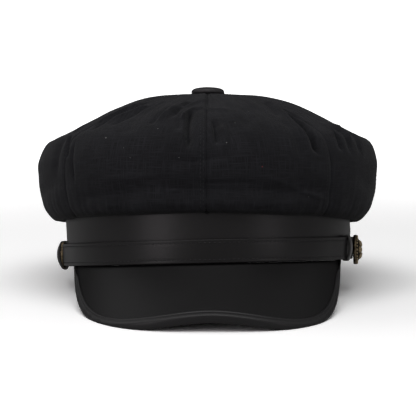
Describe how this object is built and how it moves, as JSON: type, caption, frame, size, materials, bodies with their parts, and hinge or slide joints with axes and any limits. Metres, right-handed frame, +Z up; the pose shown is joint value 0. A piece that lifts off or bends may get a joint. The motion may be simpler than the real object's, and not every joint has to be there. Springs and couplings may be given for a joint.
{
  "type": "biker cap",
  "caption": "Soft panelled biker cap with a covered top button, a leather band, a stitched strap between metal side buttons, and a short downturned leather peak with a bound edge.",
  "frame": {"origin": "on the surface that the cap rests on, under the middle of its bounding box", "axes": "+Z up, the front of the cap with its peak towards -Y, the wearer's left towards +X"},
  "size_m": [0.2076, 0.2544, 0.1226],
  "materials": {
    "crown_cotton": "matt black woven cotton with fine slubs",
    "leather": "smooth black leather with a soft sheen",
    "brass": "antiqued cast brass, dark in its hollows"
  },
  "bodies": {
    "root": {"crown_panel_1": "crown_cotton", "crown_panel_2": "crown_cotton", "crown_panel_3": "crown_cotton", "crown_panel_4": "crown_cotton", "crown_panel_5": "crown_cotton", "crown_panel_6": "crown_cotton", "crown_panel_7": "crown_cotton", "crown_panel_8": "crown_cotton", "top_button": "leather", "band": "leather", "peak": "leather", "peak_binding": "leather", "chin_strap": "leather", "keeper_left": "leather", "keeper_right": "leather", "side_button_left": "brass", "side_button_right": "brass"}
  },
  "joints": []
}
